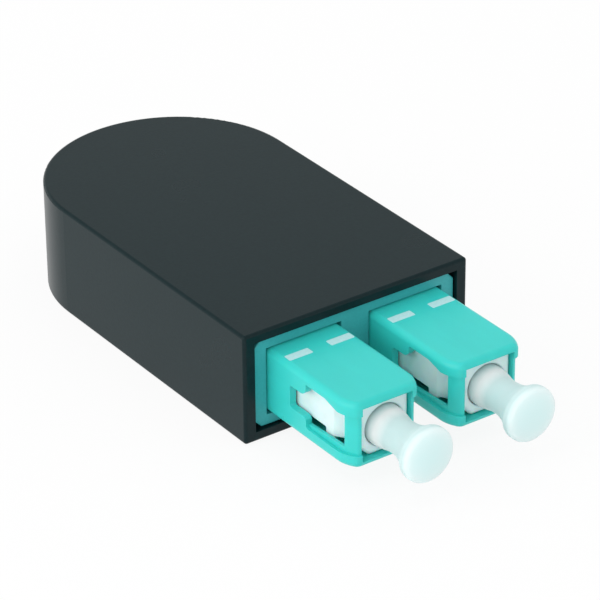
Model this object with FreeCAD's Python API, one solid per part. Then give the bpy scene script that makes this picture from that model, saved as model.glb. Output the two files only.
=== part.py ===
import FreeCAD, Part
import math
import os

from FreeCAD import Rotation, Vector

# Fibre loopback plug: two push-pull fibre plugs in a black case, joined by one looped fibre.
# Millimetres. The case lies flat on z = 0 and the plugs point to -Y. Pieces are built with the case's
# front in the plane y = 0, the plug pieces about an axis along Y through the origin. On export all are
# moved so that the origin lies on the underside, under the centre of the case's round end.

# Plug pitch and the fit of sliding pieces
PLUG_PITCH = 12.7
SLIDE_GAP = 0.05
SMALL_EDGE = 0.15

# Case shell
CASE_HEIGHT = 12.5
CASE_SIDE_WALL = 1.3
CASE_FLAT_WALL = 1.1
CASE_EDGE_RADIUS = 0.35
CORNER_RIB = 0.8
SNAP_POCKET_DEPTH = 0.75

# Front plate
PLATE_RECESS = 0.45
PLATE_THICKNESS = 2.6
PLATE_GAP = 0.1
PLATE_CORNER = 0.95
PLATE_SIDE_MARGIN = 1.55
OPENING_GAP = 0.15
COLLAR_WALL = 0.65
COLLAR_DEPTH = 7.2
COLLAR_RIB_HEIGHT = 0.3
COLLAR_RIB_WIDTH = 1.0
COLLAR_RIB_SPAN = 2.0
SNAP_ARM_LENGTH = 8.6
SNAP_ARM_HEIGHT = 3.4
SNAP_ARM_THICKNESS = 0.7
SNAP_ARM_INSET = 0.1
SNAP_HOOK_HEIGHT = 0.65
SNAP_HOOK_LENGTH = 1.5

# Outer housing: its nose stands GRIP_REACH in front of the case, its tail behind the plate's collar.
# The window, the recess, the band and the sill are placed by their distance from the nose.
GRIP_WIDTH = 9.0
GRIP_HEIGHT = 7.4
GRIP_REACH = 13.6
GRIP_TAIL = 0.95
GRIP_EDGE_RADIUS = 0.7
GRIP_NOSE_LENGTH = 1.4
GRIP_NOSE_INSET = 0.95
GRIP_NOSE_RADIUS = 3.6
GRIP_CORNER_RADIUS = 0.9
GRIP_CAVITY_WIDTH = 7.5
SIDE_RECESS_DEPTH = 0.4
SIDE_RECESS_REAR = 7.5
SIDE_LEDGE = 2.25
BAND_DROP = 2.75
BAND_NOSE_DROP = 2.2
BAND_STEP_START = 4.3
BAND_STEP_END = 2.3
POST_LENGTH = 1.65
POST_SETBACK = 0.2
NOTCH_REAR = 10.2
NOTCH_DROP = 1.05
NOTCH_RISE = 1.4
SILL_REAR = 1.9
SILL_FRONT = 1.6
TAB_RADIUS = 0.9
GROOVE_DEPTH = 0.4

# Plug frame
FRAME_WIDTH = 5.95
FRAME_HEIGHT = 5.95
FRAME_SETBACK = 0.6
FRAME_CORNER_RADIUS = 0.55
FRAME_FRONT_RADIUS = 0.45
FRAME_KEY_CHAMFER = 1.2
PAD_PROUD = 0.55
PAD_TOP = 2.35
PAD_BOTTOM = 1.35
PAD_FRONT_BOTTOM = 1.8
PAD_RAMP = 0.85
NUB_DEPTH = 0.85
NUB_LENGTH = 1.3
NUB_RADIUS = 0.18
MOUTH_DIAMETER = 4.6
MOUTH_CHAMFER = 0.12
WEB_DEPTH = 6.1
WEB_THICKNESS = 1.0
WEB_HOLE = 2.9
CHAMBER_DIAMETER = 5.2
PLUG_TRAVEL = 1.5
FRAME_LUG_WIDTH = 2.6
FRAME_LUG_LENGTH = 1.8
FRAME_LUG_HEIGHT = 0.5
FRAME_LUG_SETBACK = 0.1

# Ferrule and flange
FERRULE_DIAMETER = 2.5
FERRULE_LENGTH = 10.5
FERRULE_PROUD = 1.0
FERRULE_TIP_DIAMETER = 1.7
FERRULE_TIP_LENGTH = 0.5
FERRULE_TRAVEL = 1.0
FLANGE_DIAMETER = 4.6
FLANGE_THICKNESS = 1.5
FLANGE_NOTCH = 0.7
FLANGE_NOTCH_COUNT = 4
FLANGE_TAIL_DIAMETER = 2.8
FLANGE_TAIL_LENGTH = 5.4

# Spring
SPRING_WIRE = 0.55
SPRING_GAP = 0.15
SPRING_LENGTH = 6.4
SPRING_PITCH = 1.3
SPRING_SEAT_GAP = 0.01

# Stop body and boot
NOSE_GAP = 0.1
STOP_COLLAR_DIAMETER = 5.8
STOP_COLLAR_LENGTH = 1.5
STOP_TAIL_DIAMETER = 3.4
STOP_TAIL_LENGTH = 4.0
STOP_BORE_GAP = 0.2
LATCH_WIDTH = 1.8
LATCH_LENGTH = 1.5
LATCH_SETBACK = 1.9
LATCH_END_WALL = 2.0
LATCH_GAP = 0.1
BOOT_DIAMETER = 5.4
BOOT_END_DIAMETER = 2.6
BOOT_COLLAR_LENGTH = 2.2
BOOT_LENGTH = 10.5
BOOT_FIT = 0.03
BOOT_GROOVE_WIDTH = 0.5
BOOT_GROOVE_DEPTH = 0.3
BOOT_GROOVE_COUNT = 5
BOOT_GROOVE_PITCH = 1.25

# Fibre
FIBRE_DIAMETER = 0.9
FIBRE_BORE_GAP = 0.1
FIBRE_SETBACK = 1.9
LOOP_LEAD_RADIUS = 12.0
LOOP_LEAD_START = 0.95
LOOP_SIDE_GAP = 1.2
LOOP_END_GAP = 0.38

# Dust cap
CAP_SLEEVE_DIAMETER = 4.45
CAP_SLEEVE_DEPTH = 4.8
CAP_BORE_GAP = 0.04
CAP_TIP_GAP = 0.6
CAP_DOME_LENGTH = 2.5
CAP_NECK_DIAMETER = 3.74
CAP_NECK_LENGTH = 0.9
CAP_FLARE_LENGTH = 3.0
CAP_HEAD_DIAMETER = 6.0
CAP_RIM_LENGTH = 1.1
CAP_RIM_RADIUS = 0.4
CAP_CROWN = 0.12

# Places that several pieces share
PLUG_HEIGHT = CASE_HEIGHT / 2
PLATE_REAR = PLATE_RECESS + PLATE_THICKNESS
COLLAR_REAR = PLATE_REAR + COLLAR_DEPTH
GRIP_FRONT = -GRIP_REACH
GRIP_REAR = COLLAR_REAR + GRIP_TAIL
GRIP_CAVITY_HEIGHT = FRAME_HEIGHT + 2 * SLIDE_GAP
FRAME_FRONT = GRIP_FRONT + FRAME_SETBACK
WEB_FRONT = FRAME_FRONT + WEB_DEPTH
FLANGE_SEAT = WEB_FRONT + WEB_THICKNESS
FLANGE_REAR = FLANGE_SEAT + FLANGE_THICKNESS
FLANGE_TAIL_END = FLANGE_REAR + FLANGE_TAIL_LENGTH
FERRULE_TIP = FRAME_FRONT - FERRULE_PROUD
FERRULE_REAR = FERRULE_TIP + FERRULE_LENGTH
SPRING_REAR = FLANGE_REAR + SPRING_LENGTH
LATCH_FRONT = SPRING_REAR + LATCH_SETBACK
LATCH_REAR = LATCH_FRONT + LATCH_LENGTH
FRAME_REAR = LATCH_REAR + LATCH_END_WALL
FRAME_LUG_REAR = FRAME_REAR - FRAME_LUG_SETBACK
STOP_COLLAR_REAR = FRAME_REAR + STOP_COLLAR_LENGTH
STOP_TAIL_END = STOP_COLLAR_REAR + STOP_TAIL_LENGTH
BOOT_END = STOP_COLLAR_REAR + BOOT_LENGTH
FIBRE_FRONT_END = FERRULE_REAR + FIBRE_SETBACK
FIBRE_BORE = FIBRE_DIAMETER + 2 * FIBRE_BORE_GAP
PLATE_WIDTH = PLUG_PITCH + GRIP_WIDTH + 2 * (OPENING_GAP + PLATE_SIDE_MARGIN)
CAVITY_WIDTH = PLATE_WIDTH + 2 * PLATE_GAP
CAVITY_HEIGHT = CASE_HEIGHT - 2 * CASE_FLAT_WALL
CASE_WIDTH = CAVITY_WIDTH + 2 * CASE_SIDE_WALL

# The fibre leaves each boot straight, curves outwards and then goes round the far end. Its loop sets
# how long the case has to be.
LOOP_RADIUS = (CAVITY_WIDTH - FIBRE_DIAMETER) / 2 - LOOP_SIDE_GAP
LOOP_REACH = LOOP_RADIUS + LOOP_LEAD_RADIUS
LEAD_X = PLUG_PITCH / 2 + LOOP_LEAD_RADIUS
LEAD_Y = BOOT_END + LOOP_LEAD_START
LOOP_CENTRE = LEAD_Y + math.sqrt(LOOP_REACH ** 2 - LEAD_X ** 2)
CASE_STRAIGHT = LOOP_CENTRE + LOOP_RADIUS + FIBRE_DIAMETER / 2 + LOOP_END_GAP - CAVITY_WIDTH / 2


def box(x_range, y_range, z_range):
    """Block between two limits on each axis."""
    size = [high - low for low, high in (x_range, y_range, z_range)]
    return Part.makeBox(size[0], size[1], size[2], Vector(x_range[0], y_range[0], z_range[0]))


def rounded_wire(corners, place):
    """Closed outline through (u, v, radius) corners; place turns u and v into a point."""
    edges = []
    joints = []
    count = len(corners)
    for index, (u, v, radius) in enumerate(corners):
        corner = Vector(u, v, 0)
        before = Vector(*corners[index - 1][:2], 0) - corner
        after = Vector(*corners[(index + 1) % count][:2], 0) - corner
        before.normalize()
        after.normalize()
        if radius == 0:
            joints.append((corner, corner, corner))
            continue
        half = before.getAngle(after) / 2
        reach = radius / math.tan(half)
        inward = before + after
        inward.normalize()
        middle = corner + inward * (radius / math.sin(half) - radius)
        joints.append((corner + before * reach, middle, corner + after * reach))
    for index, (start, middle, end) in enumerate(joints):
        if start.distanceToPoint(end) > 0:
            arc = Part.Arc(place(start.x, start.y), place(middle.x, middle.y), place(end.x, end.y))
            edges.append(arc.toShape())
        following = joints[(index + 1) % count][0]
        if end.distanceToPoint(following) > 1e-6:
            edges.append(Part.makeLine(place(end.x, end.y), place(following.x, following.y)))
    return Part.Wire(Part.__sortEdges__(edges))


def along_y(corners, y_range):
    """Outline in x and z, extruded along y."""
    wire = rounded_wire(corners, lambda u, v: Vector(u, y_range[0], v))
    return Part.Face(wire).extrude(Vector(0, y_range[1] - y_range[0], 0))


def along_x(corners, x_range):
    """Outline in y and z, extruded along x."""
    wire = rounded_wire(corners, lambda u, v: Vector(x_range[0], u, v))
    return Part.Face(wire).extrude(Vector(x_range[1] - x_range[0], 0, 0))


def along_z(corners, z_range):
    """Outline in x and y, extruded along z."""
    wire = rounded_wire(corners, lambda u, v: Vector(u, v, z_range[0]))
    return Part.Face(wire).extrude(Vector(0, 0, z_range[1] - z_range[0]))


def section(width, height, radius):
    """Corners of a rectangle about the axis, all with one radius."""
    x = width / 2
    z = height / 2
    return [(-x, -z, radius), (x, -z, radius), (x, z, radius), (-x, z, radius)]


def cylinder(diameter, y_range):
    """Round bar on the plug axis."""
    length = y_range[1] - y_range[0]
    return Part.makeCylinder(diameter / 2, length, Vector(0, y_range[0], 0), Vector(0, 1, 0))


def turned(edges):
    """Solid of revolution about the plug axis from a closed profile in x and y."""
    face = Part.Face(Part.Wire(Part.__sortEdges__(edges)))
    return face.revolve(Vector(0, 0, 0), Vector(0, 1, 0), 360)


def turned_outline(corners):
    """Solid of revolution from (radius, y, corner radius) corners."""
    wire = rounded_wire(corners, lambda u, v: Vector(u, v, 0))
    return turned(wire.Edges)


def mirrored(shape):
    """The shape and its mirror image in the plane x = 0."""
    return shape.fuse(shape.mirror(Vector(0, 0, 0), Vector(1, 0, 0)))


def round_end_block(width, front, z_range):
    """Block with straight sides and a half-round far end."""
    x = width / 2
    corners = [Vector(-x, front, 0), Vector(x, front, 0), Vector(x, CASE_STRAIGHT, 0), Vector(-x, CASE_STRAIGHT, 0)]
    far = Part.Arc(corners[2], Vector(0, CASE_STRAIGHT + x, 0), corners[3])
    edges = [Part.makeLine(corners[0], corners[1]), Part.makeLine(corners[1], corners[2])]
    edges += [far.toShape(), Part.makeLine(corners[3], corners[0])]
    face = Part.Face(Part.Wire(edges))
    face.translate(Vector(0, 0, z_range[0]))
    return face.extrude(Vector(0, 0, z_range[1] - z_range[0]))


def case_shell():
    """Black moulded sleeve: one piece, open at the front, round at the far end."""
    body = round_end_block(CASE_WIDTH, 0, (0, CASE_HEIGHT))
    level = [edge for edge in body.Edges if abs(edge.BoundBox.ZLength) < CASE_EDGE_RADIUS]
    upright = [edge for edge in body.Edges if edge.BoundBox.YMax < CASE_EDGE_RADIUS and edge not in level]
    body = body.makeFillet(CASE_EDGE_RADIUS, level + upright)

    floor = CASE_FLAT_WALL
    ceiling = CASE_HEIGHT - CASE_FLAT_WALL
    cavity = round_end_block(CAVITY_WIDTH, -CASE_EDGE_RADIUS, (floor, ceiling))
    # Ribs in the four long corners are what the front plate comes to rest against.
    x = CAVITY_WIDTH / 2
    for z_range in ((floor, floor + CORNER_RIB), (ceiling - CORNER_RIB, ceiling)):
        rib = box((x - CORNER_RIB, x), (PLATE_REAR, CASE_STRAIGHT), z_range)
        cavity = cavity.cut(mirrored(rib))

    hook_rear = PLATE_REAR + SNAP_ARM_LENGTH
    pocket = box(
        (x, x + SNAP_POCKET_DEPTH),
        (hook_rear - SNAP_HOOK_LENGTH - PLATE_GAP, hook_rear + PLATE_GAP),
        (PLUG_HEIGHT - SNAP_ARM_HEIGHT / 2 - PLATE_GAP, PLUG_HEIGHT + SNAP_ARM_HEIGHT / 2 + PLATE_GAP),
    )
    return body.cut(cavity.fuse(mirrored(pocket)))


def front_plate():
    """Aqua plate that closes the case and holds both outer housings."""
    x = PLATE_WIDTH / 2
    z = CAVITY_HEIGHT / 2 - PLATE_GAP
    corner_x = x - PLATE_CORNER
    corner_z = z - PLATE_CORNER
    outline = [
        (-corner_x, -z, SMALL_EDGE),
        (corner_x, -z, SMALL_EDGE),
        (x, -corner_z, SMALL_EDGE),
        (x, corner_z, SMALL_EDGE),
        (corner_x, z, SMALL_EDGE),
        (-corner_x, z, SMALL_EDGE),
        (-x, corner_z, SMALL_EDGE),
        (-x, -corner_z, SMALL_EDGE),
    ]
    plate = along_y(outline, (PLATE_RECESS, PLATE_REAR))
    front_edges = [edge for edge in plate.Edges if edge.BoundBox.YMax < PLATE_RECESS + SMALL_EDGE]
    plate = plate.makeFillet(SMALL_EDGE, front_edges)

    opening_width = GRIP_WIDTH + 2 * OPENING_GAP
    opening_height = GRIP_HEIGHT + 2 * OPENING_GAP
    collar = along_y(
        section(opening_width + 2 * COLLAR_WALL, opening_height + 2 * COLLAR_WALL, COLLAR_WALL),
        (PLATE_REAR, COLLAR_REAR),
    )
    opening = along_y(section(opening_width, opening_height, 0), (PLATE_RECESS, COLLAR_REAR))
    rib_base = opening_width / 2
    rib_rear = COLLAR_REAR
    rib_front = rib_rear - COLLAR_RIB_WIDTH
    rib = along_z(
        [
            (rib_base + COLLAR_WALL / 2, rib_front, 0),
            (rib_base + COLLAR_WALL / 2, rib_rear, 0),
            (rib_base, rib_rear, 0),
            (rib_base - COLLAR_RIB_HEIGHT, rib_rear - COLLAR_RIB_HEIGHT, 0),
            (rib_base - COLLAR_RIB_HEIGHT, rib_front, 0),
        ],
        (-COLLAR_RIB_SPAN / 2, COLLAR_RIB_SPAN / 2),
    )
    for side in (-1, 1):
        shift = Vector(side * PLUG_PITCH / 2, 0, 0)
        plate = plate.fuse(collar.translated(shift))
        plate = plate.cut(opening.translated(shift))
        plate = plate.fuse(mirrored(rib).translated(shift))

    arm_outer = x - SNAP_ARM_INSET
    arm_inner = arm_outer - SNAP_ARM_THICKNESS
    hook_x = arm_outer + SNAP_HOOK_HEIGHT
    arm_rear = PLATE_REAR + SNAP_ARM_LENGTH
    arm = along_z(
        [
            (arm_inner, PLATE_REAR, 0),
            (arm_outer, PLATE_REAR, 0),
            (arm_outer, arm_rear - SNAP_HOOK_LENGTH, 0),
            (hook_x, arm_rear - SNAP_HOOK_LENGTH, 0),
            (arm_outer, arm_rear, 0),
            (arm_inner, arm_rear, 0),
        ],
        (-SNAP_ARM_HEIGHT / 2, SNAP_ARM_HEIGHT / 2),
    )
    plate = plate.fuse(mirrored(arm))
    return plate.translated(Vector(0, 0, PLUG_HEIGHT))


def outer_housing():
    """Aqua push-pull grip: rounded sleeve with a curved nose, side recesses, windows and corner posts."""
    half_width = GRIP_WIDTH / 2
    half_height = GRIP_HEIGHT / 2
    # In plan each side curves in and then turns round a tighter corner to the front face.
    nose_x = half_width - GRIP_NOSE_INSET
    nose_y = GRIP_FRONT + GRIP_NOSE_LENGTH
    plan = [
        (half_width, GRIP_REAR, 0),
        (half_width, nose_y, GRIP_NOSE_RADIUS),
        (nose_x, GRIP_FRONT, GRIP_CORNER_RADIUS),
        (-nose_x, GRIP_FRONT, GRIP_CORNER_RADIUS),
        (-half_width, nose_y, GRIP_NOSE_RADIUS),
        (-half_width, GRIP_REAR, 0),
    ]
    sleeve = along_z(plan, (-half_height, half_height))
    rim = [edge for edge in sleeve.Edges if edge.BoundBox.ZLength < SMALL_EDGE < GRIP_REAR - edge.BoundBox.YMin]
    sleeve = sleeve.makeFillet(GRIP_EDGE_RADIUS, rim)

    # The frame slides between the posts in front and in a wider cavity behind them.
    post_rear = GRIP_FRONT + POST_LENGTH
    mouth = box(
        (-FRAME_WIDTH / 2 - SLIDE_GAP, FRAME_WIDTH / 2 + SLIDE_GAP),
        (GRIP_FRONT, post_rear),
        (-GRIP_CAVITY_HEIGHT / 2, GRIP_CAVITY_HEIGHT / 2),
    )
    cavity = box(
        (-GRIP_CAVITY_WIDTH / 2, GRIP_CAVITY_WIDTH / 2),
        (post_rear, GRIP_REAR),
        (-GRIP_CAVITY_HEIGHT / 2, GRIP_CAVITY_HEIGHT / 2),
    )

    # Side recess: its upper edge steps down towards the nose, its lower edge is a straight ledge.
    step_height = BAND_DROP - BAND_NOSE_DROP
    recess_rear = GRIP_FRONT + SIDE_RECESS_REAR
    step_start = GRIP_FRONT + BAND_STEP_START
    step_end = GRIP_FRONT + BAND_STEP_END
    recess_outline = [
        (recess_rear, -SIDE_LEDGE, TAB_RADIUS / 3),
        (recess_rear, BAND_DROP, TAB_RADIUS / 3),
        (step_start, BAND_DROP, 2 * step_height),
        (step_end, BAND_NOSE_DROP, 2 * step_height),
        (GRIP_FRONT, BAND_NOSE_DROP, 0),
        (GRIP_FRONT, -SIDE_LEDGE, 0),
    ]
    # The recess follows the nose round, so the posts stand inside the upper and lower bands.
    recess = along_x(recess_outline, (-half_width, half_width))
    plan_face = Part.Face(rounded_wire(plan, lambda u, v: Vector(u, v, -half_height)))
    core = plan_face.makeOffset2D(-SIDE_RECESS_DEPTH).extrude(Vector(0, 0, GRIP_HEIGHT))
    core.translate(Vector(0, POST_SETBACK - SIDE_RECESS_DEPTH, 0))
    recess = recess.cut(core)

    # Window: a low notch at the rear, then the full height from the tabs to the post.
    notch_rear = GRIP_FRONT + NOTCH_REAR
    window_outline = [
        (notch_rear, -NOTCH_DROP, TAB_RADIUS / 3),
        (notch_rear, NOTCH_RISE, TAB_RADIUS / 3),
        (recess_rear, NOTCH_RISE, TAB_RADIUS),
        (recess_rear, BAND_DROP, 0),
        (step_start, BAND_DROP, 2 * step_height),
        (step_end, BAND_NOSE_DROP, 2 * step_height),
        (post_rear, BAND_NOSE_DROP, 0),
        (post_rear, -SILL_FRONT, 0),
        (recess_rear, -SILL_REAR, 0),
        (recess_rear, -NOTCH_DROP, TAB_RADIUS / 2),
    ]
    window = along_x(window_outline, (GRIP_CAVITY_WIDTH / 2, half_width))

    # The front wall of the groove rests against the collar's rib.
    groove_front = COLLAR_REAR - COLLAR_RIB_WIDTH
    groove = box(
        (half_width - GROOVE_DEPTH, half_width),
        (groove_front, COLLAR_REAR + OPENING_GAP),
        (-half_height, half_height),
    )

    # Slots above and below take the lugs of the frame and stop its slide.
    slot_front = FRAME_LUG_REAR - FRAME_LUG_LENGTH - PLUG_TRAVEL - SLIDE_GAP
    slot = box(
        (-FRAME_LUG_WIDTH / 2 - SLIDE_GAP, FRAME_LUG_WIDTH / 2 + SLIDE_GAP),
        (slot_front, FRAME_LUG_REAR + SLIDE_GAP),
        (-half_height, half_height),
    )
    cuts = [mouth, cavity, slot, recess]
    for side_cut in (window, groove):
        cuts.append(mirrored(side_cut))
    return sleeve.cut(cuts[0].multiFuse(cuts[1:]))


def plug_frame():
    """White inner frame: a block with a round mouth in front and raised pads along both sides."""
    half_width = FRAME_WIDTH / 2
    half_height = FRAME_HEIGHT / 2
    # The two lower corners are cut off, so the plug can't be pushed in upside down.
    key_x = half_width - FRAME_KEY_CHAMFER
    key_z = half_height - FRAME_KEY_CHAMFER
    outline = [
        (-key_x, -half_height, FRAME_CORNER_RADIUS),
        (key_x, -half_height, FRAME_CORNER_RADIUS),
        (half_width, -key_z, FRAME_CORNER_RADIUS),
        (half_width, half_height, FRAME_CORNER_RADIUS),
        (-half_width, half_height, FRAME_CORNER_RADIUS),
        (-half_width, -key_z, FRAME_CORNER_RADIUS),
    ]
    core = along_y(outline, (FRAME_FRONT, FRAME_REAR))
    front_edges = [edge for edge in core.Edges if edge.BoundBox.YMax < FRAME_FRONT + SMALL_EDGE]
    core = core.makeFillet(FRAME_FRONT_RADIUS, front_edges)

    # Each pad ramps up behind the posts, at a place that still clears them at full travel.
    ramp_front = GRIP_FRONT + POST_LENGTH + PLUG_TRAVEL + 2 * SLIDE_GAP
    ramp_rear = ramp_front + PAD_RAMP
    pad_x = half_width + PAD_PROUD
    pad_plan = [
        (half_width - PAD_PROUD, ramp_front, 0),
        (half_width, ramp_front, 0),
        (pad_x, ramp_rear, 0),
        (pad_x, FRAME_REAR, 0),
        (half_width - PAD_PROUD, FRAME_REAR, 0),
    ]
    nub_rear = ramp_rear + NUB_LENGTH
    pad_side = [
        (ramp_front, -PAD_FRONT_BOTTOM, 0),
        (ramp_front, PAD_TOP, 0),
        (FRAME_REAR, PAD_TOP, 0),
        (FRAME_REAR, -PAD_BOTTOM, 0),
        (nub_rear, -PAD_BOTTOM, NUB_RADIUS),
        (nub_rear, -PAD_BOTTOM - NUB_DEPTH, NUB_RADIUS),
        (ramp_rear, -PAD_BOTTOM - NUB_DEPTH, NUB_RADIUS),
        (ramp_rear, -PAD_FRONT_BOTTOM, NUB_RADIUS),
    ]
    pad = along_z(pad_plan, (-half_width, half_width))
    pad = pad.common(along_x(pad_side, (half_width - PAD_PROUD, pad_x)))

    lug_front = FRAME_LUG_REAR - FRAME_LUG_LENGTH
    lug_z = half_height + FRAME_LUG_HEIGHT
    lug = along_x(
        [
            (lug_front, -lug_z, 0),
            (lug_front, lug_z, 0),
            (FRAME_LUG_REAR - FRAME_LUG_HEIGHT, lug_z, 0),
            (FRAME_LUG_REAR, half_height, 0),
            (FRAME_LUG_REAR, -half_height, 0),
            (FRAME_LUG_REAR - FRAME_LUG_HEIGHT, -lug_z, 0),
        ],
        (-FRAME_LUG_WIDTH / 2, FRAME_LUG_WIDTH / 2),
    )
    frame = core.multiFuse([mirrored(pad), lug])

    mouth_radius = MOUTH_DIAMETER / 2
    mouth = turned_outline(
        [
            (0, FRAME_FRONT, 0),
            (mouth_radius + MOUTH_CHAMFER, FRAME_FRONT, 0),
            (mouth_radius, FRAME_FRONT + MOUTH_CHAMFER, 0),
            (mouth_radius, WEB_FRONT, 0),
            (0, WEB_FRONT, 0),
        ]
    )
    web_hole = cylinder(WEB_HOLE, (WEB_FRONT, FLANGE_SEAT))
    chamber = cylinder(CHAMBER_DIAMETER, (FLANGE_SEAT, FRAME_REAR))
    latch_window = box(
        (-pad_x, pad_x),
        (LATCH_FRONT - LATCH_GAP, LATCH_REAR + LATCH_GAP),
        (-LATCH_WIDTH / 2 - LATCH_GAP, LATCH_WIDTH / 2 + LATCH_GAP),
    )
    return frame.cut(mouth.multiFuse([web_hole, chamber, latch_window]))


def ferrule():
    """Ceramic ferrule with a conical lead to its tip."""
    radius = FERRULE_DIAMETER / 2
    return turned_outline(
        [
            (0, FERRULE_TIP, 0),
            (FERRULE_TIP_DIAMETER / 2, FERRULE_TIP, 0),
            (radius, FERRULE_TIP + FERRULE_TIP_LENGTH, 0),
            (radius, FERRULE_REAR, 0),
            (0, FERRULE_REAR, 0),
        ]
    )


def ferrule_flange():
    """Metal flange pressed on the ferrule: a notched collar and a tail tube."""
    grip = FERRULE_DIAMETER / 2
    bore = FIBRE_BORE / 2
    tail = FLANGE_TAIL_DIAMETER / 2
    collar = FLANGE_DIAMETER / 2
    flange = turned_outline(
        [
            (grip, FLANGE_SEAT, 0),
            (collar, FLANGE_SEAT, SMALL_EDGE),
            (collar, FLANGE_REAR, SMALL_EDGE),
            (tail, FLANGE_REAR, 0),
            (tail, FLANGE_TAIL_END, 0),
            (bore, FLANGE_TAIL_END, 0),
            (bore, FERRULE_REAR, 0),
            (grip, FERRULE_REAR, 0),
        ]
    )
    notch = box(
        (collar - FLANGE_NOTCH, collar),
        (FLANGE_SEAT, FLANGE_REAR),
        (-FLANGE_NOTCH / 2, FLANGE_NOTCH / 2),
    )
    for turn in range(FLANGE_NOTCH_COUNT):
        turned_notch = notch.copy()
        turned_notch.rotate(Vector(0, 0, 0), Vector(0, 1, 0), 360 * turn / FLANGE_NOTCH_COUNT)
        flange = flange.cut(turned_notch)
    return flange


def spring():
    """Compression spring between the flange and the stop body."""
    wire_radius = SPRING_WIRE / 2
    coil_radius = FLANGE_TAIL_DIAMETER / 2 + SPRING_GAP + wire_radius
    start = FLANGE_REAR + wire_radius + SPRING_SEAT_GAP
    height = SPRING_REAR - wire_radius - SPRING_SEAT_GAP - start
    helix = Part.makeHelix(SPRING_PITCH, height, coil_radius)
    wire_end = Part.makeCircle(wire_radius, Vector(coil_radius, 0, 0), Vector(0, 1, 0))
    coil = Part.Wire(helix).makePipeShell([Part.Wire(wire_end)], True, True)
    return coil.rotated(Vector(0, 0, 0), Vector(1, 0, 0), -90).translated(Vector(0, start, 0))


def stop_body():
    """Rear body: its nose snaps into the frame and carries the spring, its tail carries the boot."""
    nose = CHAMBER_DIAMETER / 2 - NOSE_GAP
    wide_bore = FLANGE_TAIL_DIAMETER / 2 + STOP_BORE_GAP
    bore = FIBRE_BORE / 2
    body = turned_outline(
        [
            (wide_bore, SPRING_REAR, 0),
            (nose, SPRING_REAR, SMALL_EDGE),
            (nose, FRAME_REAR, 0),
            (STOP_COLLAR_DIAMETER / 2, FRAME_REAR, 0),
            (STOP_COLLAR_DIAMETER / 2, STOP_COLLAR_REAR, SMALL_EDGE),
            (STOP_TAIL_DIAMETER / 2, STOP_COLLAR_REAR, 0),
            (STOP_TAIL_DIAMETER / 2, STOP_TAIL_END, SMALL_EDGE),
            (bore, STOP_TAIL_END, 0),
            (bore, FRAME_REAR, 0),
            (wide_bore, FRAME_REAR, 0),
        ]
    )
    latch_x = FRAME_WIDTH / 2 + PAD_PROUD - LATCH_GAP
    latch = along_z(
        [
            (-nose, LATCH_FRONT, 0),
            (nose, LATCH_FRONT, 0),
            (latch_x, LATCH_FRONT + LATCH_LENGTH * 2 / 3, 0),
            (latch_x, LATCH_REAR, 0),
            (-latch_x, LATCH_REAR, 0),
            (-latch_x, LATCH_FRONT + LATCH_LENGTH * 2 / 3, 0),
        ],
        (-LATCH_WIDTH / 2, LATCH_WIDTH / 2),
    )
    latch = latch.cut(cylinder(2 * wide_bore, (LATCH_FRONT, LATCH_REAR)))
    return body.fuse(latch)


def boot():
    """Rubber boot pushed on the tail of the stop body, ringed so that it bends evenly."""
    outer = BOOT_DIAMETER / 2
    end = BOOT_END_DIAMETER / 2
    grip = STOP_TAIL_DIAMETER / 2 + BOOT_FIT
    bore = FIBRE_BORE / 2
    collar_end = STOP_COLLAR_REAR + BOOT_COLLAR_LENGTH
    tail_end = STOP_TAIL_END + BOOT_FIT
    boot_solid = turned_outline(
        [
            (grip, STOP_COLLAR_REAR, 0),
            (outer, STOP_COLLAR_REAR, SMALL_EDGE),
            (outer, collar_end, SMALL_EDGE),
            (end, BOOT_END, SMALL_EDGE),
            (bore, BOOT_END, 0),
            (bore, tail_end, 0),
            (grip, tail_end, 0),
        ]
    )
    taper = (outer - end) / (BOOT_END - collar_end)
    for index in range(BOOT_GROOVE_COUNT):
        groove_y = BOOT_END - (index + 1) * BOOT_GROOVE_PITCH
        floor = end + taper * (BOOT_END - groove_y) - BOOT_GROOVE_DEPTH
        ring = cylinder(2 * outer, (groove_y - BOOT_GROOVE_WIDTH, groove_y))
        boot_solid = boot_solid.cut(ring.cut(cylinder(2 * floor, (groove_y - BOOT_GROOVE_WIDTH, groove_y))))
    return boot_solid


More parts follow.
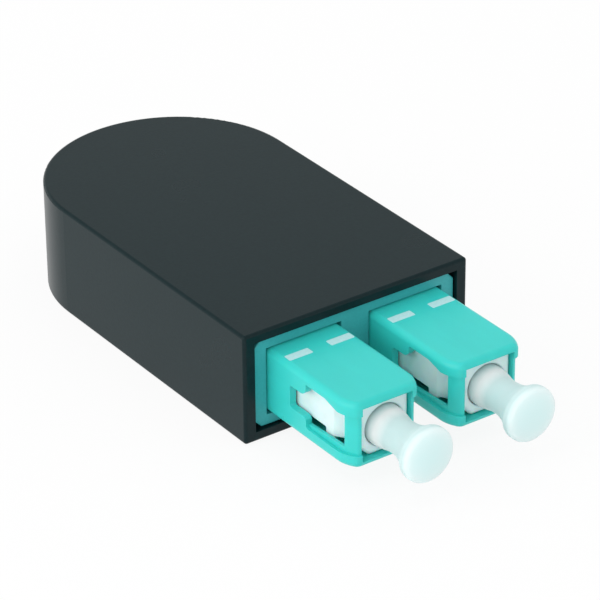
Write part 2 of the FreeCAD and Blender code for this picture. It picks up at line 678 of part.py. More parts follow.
def dust_cap():
    """Soft cap: a sleeve over the ferrule, a domed shoulder, a neck and a mushroom head to pull."""
    sleeve = CAP_SLEEVE_DIAMETER / 2
    bore = FERRULE_DIAMETER / 2 + CAP_BORE_GAP
    neck = CAP_NECK_DIAMETER / 2
    head = CAP_HEAD_DIAMETER / 2
    inner_end = FRAME_FRONT + CAP_SLEEVE_DEPTH
    bore_end = FERRULE_TIP - CAP_TIP_GAP
    dome_end = FRAME_FRONT - CAP_DOME_LENGTH
    neck_end = dome_end - CAP_NECK_LENGTH
    flare_end = neck_end - CAP_FLARE_LENGTH
    face = flare_end - CAP_RIM_LENGTH
    dome_middle = Vector((sleeve + neck) / 2 + (sleeve - neck) / 4, (FRAME_FRONT + dome_end) / 2, 0)
    flare_middle = Vector(neck + (head - neck) / 3, (neck_end + flare_end) / 2, 0)
    rim_turn = CAP_RIM_RADIUS * (1 - math.sqrt(0.5))
    rim_start = Vector(head, face + CAP_RIM_RADIUS, 0)
    rim_middle = Vector(head - rim_turn, face + rim_turn, 0)
    rim_end = Vector(head - CAP_RIM_RADIUS, face, 0)
    crown = Vector(0, face - CAP_CROWN, 0)
    crown_radius = (rim_end.x ** 2 + CAP_CROWN ** 2) / (2 * CAP_CROWN)
    crown_drop = crown_radius - math.sqrt(crown_radius ** 2 - (rim_end.x / 2) ** 2)
    crown_middle = Vector(rim_end.x / 2, crown.y + crown_drop, 0)
    points = [
        Vector(bore, bore_end, 0),
        Vector(bore, inner_end, 0),
        Vector(sleeve - SMALL_EDGE, inner_end, 0),
        Vector(sleeve, inner_end - SMALL_EDGE, 0),
        Vector(sleeve, FRAME_FRONT, 0),
    ]
    edges = [Part.makeLine(start, end) for start, end in zip(points, points[1:])]
    edges += [
        Part.Arc(points[4], dome_middle, Vector(neck, dome_end, 0)).toShape(),
        Part.makeLine(Vector(neck, dome_end, 0), Vector(neck, neck_end, 0)),
        Part.Arc(Vector(neck, neck_end, 0), flare_middle, Vector(head, flare_end, 0)).toShape(),
        Part.makeLine(Vector(head, flare_end, 0), rim_start),
        Part.Arc(rim_start, rim_middle, rim_end).toShape(),
        Part.Arc(rim_end, crown_middle, crown).toShape(),
        Part.makeLine(crown, Vector(0, bore_end, 0)),
        Part.makeLine(Vector(0, bore_end, 0), points[0]),
    ]
    return turned(edges)


def fibre_loop():
    """Buffered fibre: straight through both boots, then wide round the far end of the case."""
    x = PLUG_PITCH / 2
    turn = math.acos(LEAD_X / LOOP_REACH)
    z = PLUG_HEIGHT

    def on_lead(angle):
        return Vector(LEAD_X - LOOP_LEAD_RADIUS * math.cos(angle), LEAD_Y + LOOP_LEAD_RADIUS * math.sin(angle), z)

    def other_side(point):
        return Vector(-point.x, point.y, point.z)

    start = Vector(x, FIBRE_FRONT_END, z)
    lead = [on_lead(0), on_lead(turn / 2), on_lead(turn)]
    far = Vector(0, LOOP_CENTRE + LOOP_RADIUS, z)
    edges = [
        Part.makeLine(start, lead[0]),
        Part.Arc(*lead).toShape(),
        Part.Arc(lead[2], far, other_side(lead[2])).toShape(),
        Part.Arc(*[other_side(point) for point in reversed(lead)]).toShape(),
        Part.makeLine(other_side(lead[0]), other_side(start)),
    ]
    path = Part.Wire(edges)
    circle = Part.makeCircle(FIBRE_DIAMETER / 2, start, Vector(0, 1, 0))
    tube = path.makePipeShell([Part.Wire(circle)], True, False)
    area = math.pi * FIBRE_DIAMETER ** 2 / 4
    print("fibre length", round(path.Length, 1), "volume ratio", round(tube.Volume / (path.Length * area), 4))
    print("fibre radii", LOOP_LEAD_RADIUS, round(LOOP_RADIUS, 2))
    return tube


def export(name, shape):
    """Write one sub-part to its own file."""
    solids = shape.Solids
    print(name, "solids", len(solids), "valid", shape.isValid(), "volume", round(shape.Volume, 2))
    piece = solids[0] if len(solids) == 1 else shape
    piece.translated(Vector(0, -CASE_STRAIGHT, 0)).exportStep("parts/" + name + ".step")


os.makedirs("parts", exist_ok=True)

export("case_shell", case_shell())
export("front_plate", front_plate())
export("fibre_loop", fibre_loop())

plug_pieces = {
    "outer_housing": outer_housing(),
    "plug_frame": plug_frame(),
    "ferrule": ferrule(),
    "ferrule_flange": ferrule_flange(),
    "spring": spring(),
    "stop_body": stop_body(),
    "boot": boot(),
    "dust_cap": dust_cap(),
}
for side_name, side in (("left", -1), ("right", 1)):
    place = Vector(side * PLUG_PITCH / 2, 0, PLUG_HEIGHT)
    for piece_name, piece in plug_pieces.items():
        export(side_name + "_" + piece_name, piece.translated(place))
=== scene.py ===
import math

import bmesh
import bpy
from mathutils import Matrix, Vector


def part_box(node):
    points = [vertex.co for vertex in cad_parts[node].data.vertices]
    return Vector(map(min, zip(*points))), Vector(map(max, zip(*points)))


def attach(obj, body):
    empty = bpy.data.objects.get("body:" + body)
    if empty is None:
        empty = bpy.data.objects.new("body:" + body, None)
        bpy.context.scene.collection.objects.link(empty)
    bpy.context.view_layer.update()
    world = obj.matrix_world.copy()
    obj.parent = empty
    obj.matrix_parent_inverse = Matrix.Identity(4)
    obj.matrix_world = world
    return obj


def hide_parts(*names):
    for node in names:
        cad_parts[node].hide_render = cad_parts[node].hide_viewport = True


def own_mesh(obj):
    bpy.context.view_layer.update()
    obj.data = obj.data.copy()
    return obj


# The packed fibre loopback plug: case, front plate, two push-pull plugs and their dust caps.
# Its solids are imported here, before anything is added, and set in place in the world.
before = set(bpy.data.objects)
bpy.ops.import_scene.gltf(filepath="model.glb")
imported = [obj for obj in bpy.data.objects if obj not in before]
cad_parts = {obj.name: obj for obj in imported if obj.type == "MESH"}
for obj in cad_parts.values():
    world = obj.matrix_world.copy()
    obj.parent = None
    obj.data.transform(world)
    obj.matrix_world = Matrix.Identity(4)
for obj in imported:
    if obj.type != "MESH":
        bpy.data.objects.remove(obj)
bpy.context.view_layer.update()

# Camera: a long lens from the front left and above, fitted to the photograph's corners and lines.
# The picture is as wide as the sensor, and the roll is the photograph's own slight tilt.
MM = 0.001
camera_azimuth = math.radians(-35.27)
camera_elevation = math.radians(29.51)
camera_roll = math.radians(-0.511)
camera_distance = 346.55 * MM
camera_target = Vector((-7.104, -33.396, 14.527)) * MM
towards_camera = Vector((
    math.sin(camera_azimuth) * math.cos(camera_elevation),
    -math.cos(camera_azimuth) * math.cos(camera_elevation),
    math.sin(camera_elevation),
))
camera_data = bpy.data.cameras.new("photo_camera")
camera_data.sensor_width = 36
camera_data.lens = 209.63
camera_data.clip_start = 10 * MM
camera_data.clip_end = 5
camera = bpy.data.objects.new("photo_camera", camera_data)
bpy.context.scene.collection.objects.link(camera)
facing = towards_camera.to_track_quat("Z", "Y").to_matrix().to_4x4()
place = Matrix.Translation(camera_target + towards_camera * camera_distance)
camera.matrix_world = place @ facing @ Matrix.Rotation(camera_roll, 4, "Z")
bpy.context.scene.camera = camera


# Studio floor: seamless white paper under the case.
# To the camera and in reflections it is nearly pure white, and it keeps a faint contact shadow.
def linear(hex_colour):
    """Linear RGBA from an sRGB hex colour."""
    channels = [int(hex_colour[start:start + 2], 16) / 255 for start in (0, 2, 4)]
    return [c / 12.92 if c <= 0.04045 else ((c + 0.055) / 1.055) ** 2.4 for c in channels] + [1]


def add_node(tree, kind, settings, links=()):
    """Node with its settings, on sockets or on the node itself, and its incoming links."""
    node = tree.nodes.new(kind)
    for name, value in settings.items():
        if isinstance(name, int) or name in node.inputs:
            node.inputs[name].default_value = value
        else:
            setattr(node, name, value)
    for source, socket in links:
        tree.links.new(source, node.inputs[socket])
    return node


def new_material(name):
    """Empty node material and its tree."""
    material = bpy.data.materials.new(name)
    material.use_nodes = True
    material.node_tree.nodes.clear()
    return material, material.node_tree


def find_seen_rays(tree):
    """Node that is 1 for camera, glossy and transmission rays, and 0 for all others."""
    rays = add_node(tree, "ShaderNodeLightPath", {})
    camera_or_glossy = add_node(tree, "ShaderNodeMath", {"operation": "MAXIMUM"},
                                [(rays.outputs["Is Camera Ray"], 0), (rays.outputs["Is Glossy Ray"], 1)])
    seen = add_node(tree, "ShaderNodeMath", {"operation": "MAXIMUM"},
                    [(camera_or_glossy.outputs[0], 0), (rays.outputs["Is Transmission Ray"], 1)])
    return seen


def new_object(name, form, material):
    """Object at the origin with the shape of a bmesh, which is freed, and one material."""
    mesh = bpy.data.meshes.new(name)
    form.to_mesh(mesh)
    form.free()
    mesh.materials.append(material)
    made = bpy.data.objects.new(name, mesh)
    bpy.context.scene.collection.objects.link(made)
    return made


floor_size = 4
white_share = 0.9

paper, tree = new_material("white_studio_paper")
seen = find_seen_rays(tree)
share = add_node(tree, "ShaderNodeMath", {"operation": "MULTIPLY", 1: white_share}, [(seen.outputs[0], 0)])
lit = add_node(tree, "ShaderNodeBsdfDiffuse", {"Color": linear("f4f4f4")})
white = add_node(tree, "ShaderNodeEmission", {"Color": (1, 1, 1, 1), "Strength": 1})
mixed = add_node(tree, "ShaderNodeMixShader", {},
                 [(share.outputs[0], 0), (lit.outputs[0], 1), (white.outputs[0], 2)])
add_node(tree, "ShaderNodeOutputMaterial", {}, [(mixed.outputs[0], "Surface")])

floor_form = bmesh.new()
bmesh.ops.create_grid(floor_form, x_segments=1, y_segments=1, size=floor_size / 2)
studio_floor = new_object("studio_floor", floor_form, paper)

# Studio light: a white room, a large soft box on the left and a small one high on the left.
# The small one draws the thin highlight on the rounded nose edge of each housing.
# In reflections the room is white at the walls and greyer overhead.
room_strength = 0.9
ceiling_strength = 0.65
wall_top = 0.15
ceiling_edge = 0.45
light_aim = Vector((0, -30, 5)) * MM
softboxes = {
    "softbox_left": {"from": (-0.55, 0.05, 0.26), "size": 0.40, "power": 1.2},
    "softbox_strip": {"from": (-0.30, -0.16, 0.60), "size": 0.12, "power": 0.3},
}

world = bpy.data.worlds.new("white_studio_room")
bpy.context.scene.world = world
world.use_nodes = True
tree = world.node_tree
tree.nodes.clear()
seen = find_seen_rays(tree)
room = add_node(tree, "ShaderNodeBackground", {"Color": (1, 1, 1, 1), "Strength": room_strength})
direction = add_node(tree, "ShaderNodeTexCoord", {})
height = add_node(tree, "ShaderNodeSeparateXYZ", {}, [(direction.outputs["Generated"], "Vector")])
fade = add_node(tree, "ShaderNodeMapRange",
                {"From Min": wall_top, "From Max": ceiling_edge, "To Min": 1, "To Max": ceiling_strength},
                [(height.outputs["Z"], "Value")])
rays = add_node(tree, "ShaderNodeLightPath", {})
brightness = add_node(tree, "ShaderNodeMath", {"operation": "MAXIMUM"},
                      [(fade.outputs["Result"], 0), (rays.outputs["Is Camera Ray"], 1)])
backdrop = add_node(tree, "ShaderNodeBackground", {"Color": (1, 1, 1, 1)},
                    [(brightness.outputs[0], "Strength")])
mixed = add_node(tree, "ShaderNodeMixShader", {},
                 [(seen.outputs[0], 0), (room.outputs[0], 1), (backdrop.outputs[0], 2)])
add_node(tree, "ShaderNodeOutputWorld", {}, [(mixed.outputs[0], "Surface")])

for name, box in softboxes.items():
    lamp = bpy.data.lights.new(name, "AREA")
    lamp.shape = "SQUARE"
    lamp.size = box["size"]
    lamp.energy = box["power"]
    softbox = bpy.data.objects.new(name, lamp)
    bpy.context.scene.collection.objects.link(softbox)
    softbox.location = light_aim + Vector(box["from"])
    softbox.rotation_euler = Vector(box["from"]).to_track_quat("Z", "Y").to_euler()


# Case: one injection-moulded sleeve of black ABS with a spark-eroded grain, drawn a little coarse to show.
# The grain breaks up the light softly, so the black reads as a matt dark grey.
# Handling has changed its gloss a little, in patches of nearly a centimetre.
def set_material(piece, material):
    """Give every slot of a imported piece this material."""
    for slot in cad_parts[piece].material_slots:
        slot.material = material


case_grain_size = 0.35 * MM
handling_patch_size = 9 * MM

moulded_abs, tree = new_material("moulded_black_abs")
coordinates = add_node(tree, "ShaderNodeTexCoord", {})
grain = add_node(tree, "ShaderNodeTexNoise", {"Scale": 1 / case_grain_size, "Detail": 3, "Roughness": 0.6},
                 [(coordinates.outputs["Object"], "Vector")])
handling = add_node(tree, "ShaderNodeTexNoise", {"Scale": 1 / handling_patch_size, "Detail": 2},
                    [(coordinates.outputs["Object"], "Vector")])
roughness = add_node(tree, "ShaderNodeMapRange", {"To Min": 0.25, "To Max": 0.33},
                     [(handling.outputs["Fac"], "Value")])
tone = add_node(tree, "ShaderNodeValToRGB", {}, [(grain.outputs["Fac"], "Fac")])
tone.color_ramp.elements[0].position = 0.3
tone.color_ramp.elements[0].color = linear("0d2124")
tone.color_ramp.elements[1].position = 0.7
tone.color_ramp.elements[1].color = linear("112629")
relief = add_node(tree, "ShaderNodeBump", {"Strength": 0.35, "Distance": 0.012 * MM},
                  [(grain.outputs["Fac"], "Height")])
plastic = add_node(tree, "ShaderNodeBsdfPrincipled", {"IOR": 1.5, "Specular IOR Level": 0.15},
                   [(tone.outputs["Color"], "Base Color"), (roughness.outputs["Result"], "Roughness"),
                    (relief.outputs["Normal"], "Normal")])
add_node(tree, "ShaderNodeOutputMaterial", {}, [(plastic.outputs[0], "Surface")])
set_material("case_shell", moulded_abs)

# Outer housings: aqua PBT, moulded and left as it comes from the tool.
# PBT has a low satin sheen, a fine-grained skin and very faint flow marks along each piece.
flow_mark_width = 1.6 * MM
flow_mark_stretch = 4
housing_skin_size = 0.3 * MM

moulded_pbt, tree = new_material("moulded_aqua_pbt")
coordinates = add_node(tree, "ShaderNodeTexCoord", {})
along = add_node(tree, "ShaderNodeMapping", {"Scale": (1, 1 / flow_mark_stretch, 1)},
                 [(coordinates.outputs["Object"], "Vector")])
flow = add_node(tree, "ShaderNodeTexNoise", {"Scale": 1 / flow_mark_width, "Detail": 3},
                [(along.outputs["Vector"], "Vector")])
skin = add_node(tree, "ShaderNodeTexNoise", {"Scale": 1 / housing_skin_size, "Detail": 2},
                [(coordinates.outputs["Object"], "Vector")])
tone = add_node(tree, "ShaderNodeValToRGB", {}, [(flow.outputs["Fac"], "Fac")])
tone.color_ramp.elements[0].position = 0.25
tone.color_ramp.elements[0].color = linear("36cec7")
tone.color_ramp.elements[1].position = 0.75
tone.color_ramp.elements[1].color = linear("3ad3cc")
roughness = add_node(tree, "ShaderNodeMapRange", {"To Min": 0.34, "To Max": 0.42},
                     [(flow.outputs["Fac"], "Value")])
relief = add_node(tree, "ShaderNodeBump", {"Strength": 0.2, "Distance": 0.008 * MM},
                  [(skin.outputs["Fac"], "Height")])
plastic = add_node(tree, "ShaderNodeBsdfPrincipled",
                   {"IOR": 1.55, "Specular IOR Level": 0.3, "Subsurface Weight": 0.15,
                    "Subsurface Scale": 0.6 * MM},
                   [(tone.outputs["Color"], "Base Color"), (roughness.outputs["Result"], "Roughness"),
                    (relief.outputs["Normal"], "Normal")])
add_node(tree, "ShaderNodeOutputMaterial", {}, [(plastic.outputs[0], "Surface")])
for side in ("left", "right"):
    set_material(side + "_outer_housing", moulded_pbt)

# Front plate: the same resin as the housings, duller than them, and painted darker and a little bluer:
# painted shade for the plate's place in the shade of the plugs and the case.
# Its face comes from a spark-eroded tool, so it has a fine even grain.
plate_grain_size = 0.3 * MM

eroded_pbt, tree = new_material("spark_eroded_aqua_pbt")
coordinates = add_node(tree, "ShaderNodeTexCoord", {})
grain = add_node(tree, "ShaderNodeTexNoise", {"Scale": 1 / plate_grain_size, "Detail": 3},
                 [(coordinates.outputs["Object"], "Vector")])
# Painted shade: the tone is darker and bluer than the housings' aqua.
tone = add_node(tree, "ShaderNodeValToRGB", {}, [(grain.outputs["Fac"], "Fac")])
tone.color_ramp.elements[0].position = 0.3
tone.color_ramp.elements[0].color = linear("3aa9ad")
tone.color_ramp.elements[1].position = 0.7
tone.color_ramp.elements[1].color = linear("3eb0b4")
relief = add_node(tree, "ShaderNodeBump", {"Strength": 0.25, "Distance": 0.01 * MM},
                  [(grain.outputs["Fac"], "Height")])
plastic = add_node(tree, "ShaderNodeBsdfPrincipled",
                   {"IOR": 1.55, "Roughness": 0.5, "Specular IOR Level": 0.35},
                   [(tone.outputs["Color"], "Base Color"), (relief.outputs["Normal"], "Normal")])
add_node(tree, "ShaderNodeOutputMaterial", {}, [(plastic.outputs[0], "Surface")])
set_material("front_plate", eroded_pbt)

# Marks: two white alignment bars pad-printed on top of each housing, close to the plate.
# The ink is a thin even film that stands a few hundredths of a millimetre proud.
mark_length = 2.85 * MM
mark_width = 1.05 * MM
mark_corner = 0.12 * MM
mark_spread = 2.55 * MM
mark_setback = 2.25 * MM
ink_height = 0.03 * MM
ink_speckle_size = 0.25 * MM

pad_ink, tree = new_material("pad_printed_white_ink")
coordinates = add_node(tree, "ShaderNodeTexCoord", {})
film = add_node(tree, "ShaderNodeTexNoise", {"Scale": 1 / ink_speckle_size, "Detail": 3},
                [(coordinates.outputs["Object"], "Vector")])
tone = add_node(tree, "ShaderNodeValToRGB", {}, [(film.outputs["Fac"], "Fac")])
tone.color_ramp.elements[0].position = 0.3
tone.color_ramp.elements[0].color = linear("b2e2e4")
tone.color_ramp.elements[1].position = 0.7
tone.color_ramp.elements[1].color = linear("bceaec")
ink = add_node(tree, "ShaderNodeBsdfPrincipled", {"Roughness": 0.5, "IOR": 1.5},
               [(tone.outputs["Color"], "Base Color")])
add_node(tree, "ShaderNodeOutputMaterial", {}, [(ink.outputs[0], "Surface")])

case_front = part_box("case_shell")[0].y
for side in ("left", "right"):
    low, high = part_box(side + "_outer_housing")
    middle = (low.x + high.x) / 2
    bars = bmesh.new()
    for offset in (-mark_spread, mark_spread):
        centre = Vector((middle + offset, case_front - mark_setback, high.z + ink_height / 2))
        bar_size = Matrix.Diagonal((mark_length, mark_width, ink_height, 1))
        bmesh.ops.create_cube(bars, size=1, matrix=Matrix.Translation(centre) @ bar_size)
    upright = [edge for edge in bars.edges if abs((edge.verts[0].co - edge.verts[1].co).z) > ink_height / 2]
    bmesh.ops.bevel(bars, geom=upright, offset=mark_corner, segments=3, profile=0.5,
                    affect="EDGES", material=-1)
    marks = new_object(side + "_marks", bars, pad_ink)
    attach(marks, "case")

# Plug frames and stop bodies: white PBT, moulded, slightly translucent at thin walls.
# Light that enters a thin wall comes out again, which softens the shade inside the windows.
frame_flow_mark_size = 1.2 * MM

white_pbt, tree = new_material("moulded_white_pbt")
coordinates = add_node(tree, "ShaderNodeTexCoord", {})
flow = add_node(tree, "ShaderNodeTexNoise", {"Scale": 1 / frame_flow_mark_size, "Detail": 2},
                [(coordinates.outputs["Object"], "Vector")])
tone = add_node(tree, "ShaderNodeValToRGB", {}, [(flow.outputs["Fac"], "Fac")])
tone.color_ramp.elements[0].position = 0.3
tone.color_ramp.elements[0].color = linear("dff1f2")
tone.color_ramp.elements[1].position = 0.7
tone.color_ramp.elements[1].color = linear("e5f6f7")
relief = add_node(tree, "ShaderNodeBump", {"Strength": 0.15, "Distance": 0.008 * MM},
                  [(flow.outputs["Fac"], "Height")])
plastic = add_node(tree, "ShaderNodeBsdfPrincipled",
                   {"Roughness": 0.38, "IOR": 1.55, "Subsurface Weight": 0.35,
                    "Subsurface Scale": 0.8 * MM},
                   [(tone.outputs["Color"], "Base Color"), (relief.outputs["Normal"], "Normal")])
add_node(tree, "ShaderNodeOutputMaterial", {}, [(plastic.outputs[0], "Surface")])
for side in ("left", "right"):
    set_material(side + "_plug_frame", white_pbt)
    set_material(side + "_stop_body", white_pbt)

# Ferrules: zirconia ceramic, ground and polished to a white gloss.
# The grinding runs round the ferrule and only shows as a faint change of gloss.
grinding_line_width = 0.15 * MM
grinding_stretch = 10

polished_zirconia, tree = new_material("polished_zirconia")
coordinates = add_node(tree, "ShaderNodeTexCoord", {})
across = add_node(tree, "ShaderNodeMapping", {"Scale": (1 / grinding_stretch, 1, 1 / grinding_stretch)},
                  [(coordinates.outputs["Object"], "Vector")])
grinding = add_node(tree, "ShaderNodeTexNoise", {"Scale": 1 / grinding_line_width, "Detail": 2},
                    [(across.outputs["Vector"], "Vector")])
roughness = add_node(tree, "ShaderNodeMapRange", {"To Min": 0.12, "To Max": 0.2},
                     [(grinding.outputs["Fac"], "Value")])
ceramic = add_node(tree, "ShaderNodeBsdfPrincipled",
                   {"Base Color": linear("eeede8"), "IOR": 2.1, "Subsurface Weight": 0.2,
                    "Subsurface Scale": 0.3 * MM},
                   [(roughness.outputs["Result"], "Roughness")])
add_node(tree, "ShaderNodeOutputMaterial", {}, [(ceramic.outputs[0], "Surface")])
for side in ("left", "right"):
    set_material(side + "_ferrule", polished_zirconia)

# Ferrule flanges: nickel silver, turned on a lathe.
# Tool marks ring the collar and the tail, drawn coarser than real ones so that they show.
# The wave texture repeats every tau / 20 units at scale 1, which gives the scale for the marks' pitch.
tool_mark_pitch = 0.377 * MM
wave_repeat = math.tau / 20

turned_metal, tree = new_material("turned_nickel_silver")
coordinates = add_node(tree, "ShaderNodeTexCoord", {})
rings = add_node(tree, "ShaderNodeTexWave",
                 {"wave_type": "BANDS", "bands_direction": "Y", "Scale": wave_repeat / tool_mark_pitch,
                  "Distortion": 1.5},
                 [(coordinates.outputs["Object"], "Vector")])
roughness = add_node(tree, "ShaderNodeMapRange", {"To Min": 0.24, "To Max": 0.36},
                     [(rings.outputs["Fac"], "Value")])
relief = add_node(tree, "ShaderNodeBump", {"Strength": 0.3, "Distance": 0.01 * MM},
                  [(rings.outputs["Fac"], "Height")])
metal = add_node(tree, "ShaderNodeBsdfPrincipled", {"Base Color": linear("c9c4b8"), "Metallic": 1},
                 [(roughness.outputs["Result"], "Roughness"), (relief.outputs["Normal"], "Normal")])
add_node(tree, "ShaderNodeOutputMaterial", {}, [(metal.outputs[0], "Surface")])
for side in ("left", "right"):
    set_material(side + "_ferrule_flange", turned_metal)

# Springs: stainless steel wire, coiled with one closed turn at each end.
# Drawing the wire leaves a soft bright sheen with slight dull patches.
# Each coil takes the place of its spring and rides with its plug.
wire_diameter = 0.55 * MM
wire_sides = 12
closed_pitch = 0.56 * MM
active_turns = 3.5
turn_steps = 36
dull_patch_size = 0.4 * MM

drawn_wire, tree = new_material("drawn_spring_steel")
coordinates = add_node(tree, "ShaderNodeTexCoord", {})
drawing = add_node(tree, "ShaderNodeTexNoise", {"Scale": 1 / dull_patch_size, "Detail": 2},
                   [(coordinates.outputs["Object"], "Vector")])
roughness = add_node(tree, "ShaderNodeMapRange", {"To Min": 0.22, "To Max": 0.38},
                     [(drawing.outputs["Fac"], "Value")])
metal = add_node(tree, "ShaderNodeBsdfPrincipled", {"Base Color": linear("c4c5c7"), "Metallic": 1},
                 [(roughness.outputs["Result"], "Roughness")])
add_node(tree, "ShaderNodeOutputMaterial", {}, [(metal.outputs[0], "Surface")])

for side in ("left", "right"):
    low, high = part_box(side + "_spring")
    middle = (low + high) / 2
    length = high.y - low.y
    coil_radius = (high.x - low.x - wire_diameter) / 2
    active_pitch = (length - wire_diameter - 2 * closed_pitch) / active_turns
    wire = bmesh.new()
    wire_start = Vector((middle.x + coil_radius, low.y + wire_diameter / 2, middle.z))
    bmesh.ops.create_circle(wire, segments=wire_sides, radius=wire_diameter / 2,
                            matrix=Matrix.Translation(wire_start))
    wire_end = wire.verts[:] + wire.edges[:]
    for turns, pitch in ((1, closed_pitch), (active_turns, active_pitch), (1, closed_pitch)):
        wound = bmesh.ops.spin(wire, geom=wire_end, cent=middle, axis=(0, 1, 0), angle=math.tau * turns,
                               steps=round(turns * turn_steps), dvec=(0, pitch / turn_steps, 0))
        wire_end = wound["geom_last"]
    bmesh.ops.holes_fill(wire, edges=[edge for edge in wire.edges if edge.is_boundary], sides=0)
    bmesh.ops.recalc_face_normals(wire, faces=wire.faces[:])
    for face in wire.faces:
        face.smooth = len(face.verts) == 4
    coil = new_object(side + "_coil", wire, drawn_wire)
    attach(coil, side + "_plug")
    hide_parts(side + "_spring")
    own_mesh(coil)

# Boots: aqua thermoplastic rubber, moulded with rings so that they bend evenly.
# Rubber is dull, and its surface is dusty and slightly uneven.
dust_size = 0.5 * MM

moulded_rubber, tree = new_material("moulded_aqua_rubber")
coordinates = add_node(tree, "ShaderNodeTexCoord", {})
dust = add_node(tree, "ShaderNodeTexNoise", {"Scale": 1 / dust_size, "Detail": 4},
                [(coordinates.outputs["Object"], "Vector")])
tone = add_node(tree, "ShaderNodeValToRGB", {}, [(dust.outputs["Fac"], "Fac")])
tone.color_ramp.elements[0].color = linear("2fb3a7")
tone.color_ramp.elements[1].color = linear("3dc0b4")
relief = add_node(tree, "ShaderNodeBump", {"Strength": 0.4, "Distance": 0.02 * MM},
                  [(dust.outputs["Fac"], "Height")])
rubber = add_node(tree, "ShaderNodeBsdfPrincipled", {"Roughness": 0.72, "IOR": 1.5},
                  [(tone.outputs["Color"], "Base Color"), (relief.outputs["Normal"], "Normal")])
add_node(tree, "ShaderNodeOutputMaterial", {}, [(rubber.outputs[0], "Surface")])
for side in ("left", "right"):
    set_material(side + "_boot", moulded_rubber)

# Fibre: one length of 0.9 mm tight-buffered glass fibre, looped round the far end of the case.
# Its extruded aqua jacket is smooth and slightly glossy, and its gloss varies every two millimetres or so.
jacket_unevenness_size = 2 * MM

extruded_jacket, tree = new_material("extruded_aqua_jacket")
coordinates = add_node(tree, "ShaderNodeTexCoord", {})
draw = add_node(tree, "ShaderNodeTexNoise", {"Scale": 1 / jacket_unevenness_size, "Detail": 1},
                [(coordinates.outputs["Object"], "Vector")])
roughness = add_node(tree, "ShaderNodeMapRange", {"To Min": 0.3, "To Max": 0.4},
                     [(draw.outputs["Fac"], "Value")])
jacket = add_node(tree, "ShaderNodeBsdfPrincipled", {"Base Color": linear("37c3b8"), "IOR": 1.53},
                  [(roughness.outputs["Result"], "Roughness")])
add_node(tree, "ShaderNodeOutputMaterial", {}, [(jacket.outputs[0], "Surface")])
set_material("fibre_loop", extruded_jacket)

# Dust caps: natural polyethylene with a pale aqua tint, moulded soft and milky.
# Light spreads inside it, so the shading is faint, and the solid head looks milky. The head's rim, the thin
# neck
# and the sleeve are painted a greyer tone: painted shade where they catch more light than the face of the
# head.
# The shoulder is painted lighter: painted light against the shade beside the plug frame, for the ferrule's
# tip seen through it.
cap_cloud_size = 2.2 * MM
cap_cloud_share = 0.03
head_tone = linear("dcf1f1")
# Painted shade: a greyer tone for the head's rim, the neck and the sleeve.
neck_painted_shade_tone = linear("c3dada")
# Painted light: a lighter tone for the shoulder beside the plug frame.
shoulder_painted_light_tone = linear("f3fbfb")

# The two caps lie side by side, so the left one's ends place the tones of both along Y.
# The ramp runs from the face of the head, at 0, to the inner end of the sleeve, at 1.
soft_polyethylene, tree = new_material("moulded_milky_polyethylene")
coordinates = add_node(tree, "ShaderNodeTexCoord", {})
cloud = add_node(tree, "ShaderNodeTexNoise", {"Scale": 1 / cap_cloud_size, "Detail": 2},
                 [(coordinates.outputs["Object"], "Vector")])
low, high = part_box("left_dust_cap")
axes = add_node(tree, "ShaderNodeSeparateXYZ", {}, [(coordinates.outputs["Object"], "Vector")])
along = add_node(tree, "ShaderNodeMapRange", {"From Min": low.y, "From Max": high.y},
                 [(axes.outputs["Y"], "Value")])
uneven = add_node(tree, "ShaderNodeMath", {"operation": "MULTIPLY_ADD", 1: cap_cloud_share},
                  [(cloud.outputs["Fac"], 0), (along.outputs["Result"], 2)])
tone = add_node(tree, "ShaderNodeValToRGB", {}, [(uneven.outputs[0], "Fac")])
tone.color_ramp.elements[0].position = 0.04
tone.color_ramp.elements[0].color = head_tone
tone.color_ramp.elements[1].position = 0.54
tone.color_ramp.elements[1].color = shoulder_painted_light_tone
for neck_position in (0.08, 0.44, 0.66):
    tone.color_ramp.elements.new(neck_position).color = neck_painted_shade_tone
relief = add_node(tree, "ShaderNodeBump", {"Strength": 0.12, "Distance": 0.01 * MM},
                  [(cloud.outputs["Fac"], "Height")])
plastic = add_node(tree, "ShaderNodeBsdfPrincipled",
                   {"Roughness": 0.5, "IOR": 1.51, "Specular IOR Level": 0.25, "Subsurface Weight": 1,
                    "Subsurface Scale": 2.5 * MM, "Subsurface Radius": (1.0, 1.0, 1.0)},
                   [(tone.outputs["Color"], "Base Color"), (relief.outputs["Normal"], "Normal")])
add_node(tree, "ShaderNodeOutputMaterial", {}, [(plastic.outputs[0], "Surface")])

# Each cap is turned from half its section. A corner is a radius, a place along Y and a rounding.
# Depths are measured back from the crown of the head. The shoulder, neck and flare are placed forward
# from the plug frame's front.
cap_tip_gap = 0.6 * MM
cap_bore_radius = 1.29 * MM
cap_sleeve_radius = 2.225 * MM
cap_sleeve_rounding = 0.1 * MM
cap_shoulder_distance = 0.9 * MM
cap_shoulder_rounding = 0.9 * MM
cap_neck_radius = 1.87 * MM
cap_neck_start = 2.5 * MM
cap_neck_end = 3.4 * MM
cap_neck_rounding = 0.4 * MM
cap_flare_radius = 2.075 * MM
cap_flare_distance = 4.98 * MM
cap_flare_rounding = 1.1 * MM
cap_head_back_depth = 1.22 * MM
cap_head_back_rounding = 0.15 * MM
cap_rim_depth = 0.14 * MM
cap_rim_rounding = 0.5 * MM
cap_crown_depth = 0.03 * MM
cap_crown_rounding = 0.7 * MM
rounding_steps = 8
cap_steps = 96
cap_crease = math.radians(40)
merge_distance = 0.001 * MM
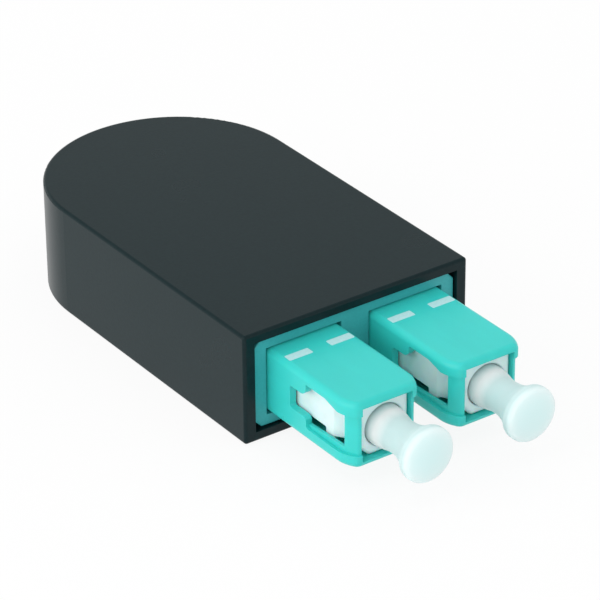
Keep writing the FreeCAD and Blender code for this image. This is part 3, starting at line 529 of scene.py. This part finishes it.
for side in ("left", "right"):
    low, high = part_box(side + "_dust_cap")
    middle = (low + high) / 2
    head_radius = (high.x - low.x) / 2
    frame_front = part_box(side + "_plug_frame")[0].y
    bore_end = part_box(side + "_ferrule")[0].y - cap_tip_gap
    outline = (
        (0, bore_end, 0),
        (cap_bore_radius, bore_end, 0),
        (cap_bore_radius, high.y, 0),
        (cap_sleeve_radius, high.y, cap_sleeve_rounding),
        (cap_sleeve_radius, frame_front - cap_shoulder_distance, cap_shoulder_rounding),
        (cap_neck_radius, frame_front - cap_neck_start, cap_neck_rounding),
        (cap_neck_radius, frame_front - cap_neck_end, cap_neck_rounding),
        (cap_flare_radius, frame_front - cap_flare_distance, cap_flare_rounding),
        (head_radius, low.y + cap_head_back_depth, cap_head_back_rounding),
        (head_radius, low.y + cap_rim_depth, cap_rim_rounding),
        (head_radius / 2, low.y + cap_crown_depth, cap_crown_rounding),
        (0, low.y, 0),
    )
    cap_form = bmesh.new()
    corners = [cap_form.verts.new((middle.x + radius, y, middle.z)) for radius, y, rounding in outline]
    for corner, next_corner in zip(corners, corners[1:]):
        cap_form.edges.new((corner, next_corner))
    for corner, (radius, y, rounding) in zip(corners, outline):
        if rounding:
            bmesh.ops.bevel(cap_form, geom=[corner], offset=rounding, segments=rounding_steps,
                            profile=0.5, affect="VERTICES", material=-1)
    bmesh.ops.spin(cap_form, geom=cap_form.verts[:] + cap_form.edges[:], cent=middle, axis=(0, 1, 0),
                   angle=math.tau, steps=cap_steps, use_merge=True)
    bmesh.ops.remove_doubles(cap_form, verts=cap_form.verts[:], dist=merge_distance)
    bmesh.ops.recalc_face_normals(cap_form, faces=cap_form.faces[:])
    for face in cap_form.faces:
        face.smooth = True
    for edge in cap_form.edges:
        edge.smooth = edge.calc_face_angle() < cap_crease
    cap = new_object(side + "_soft_cap", cap_form, soft_polyethylene)
    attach(cap, side + "_cap")
    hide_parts(side + "_dust_cap")

# View: each colour is shown as it is written.
bpy.context.scene.view_settings.view_transform = "Standard"
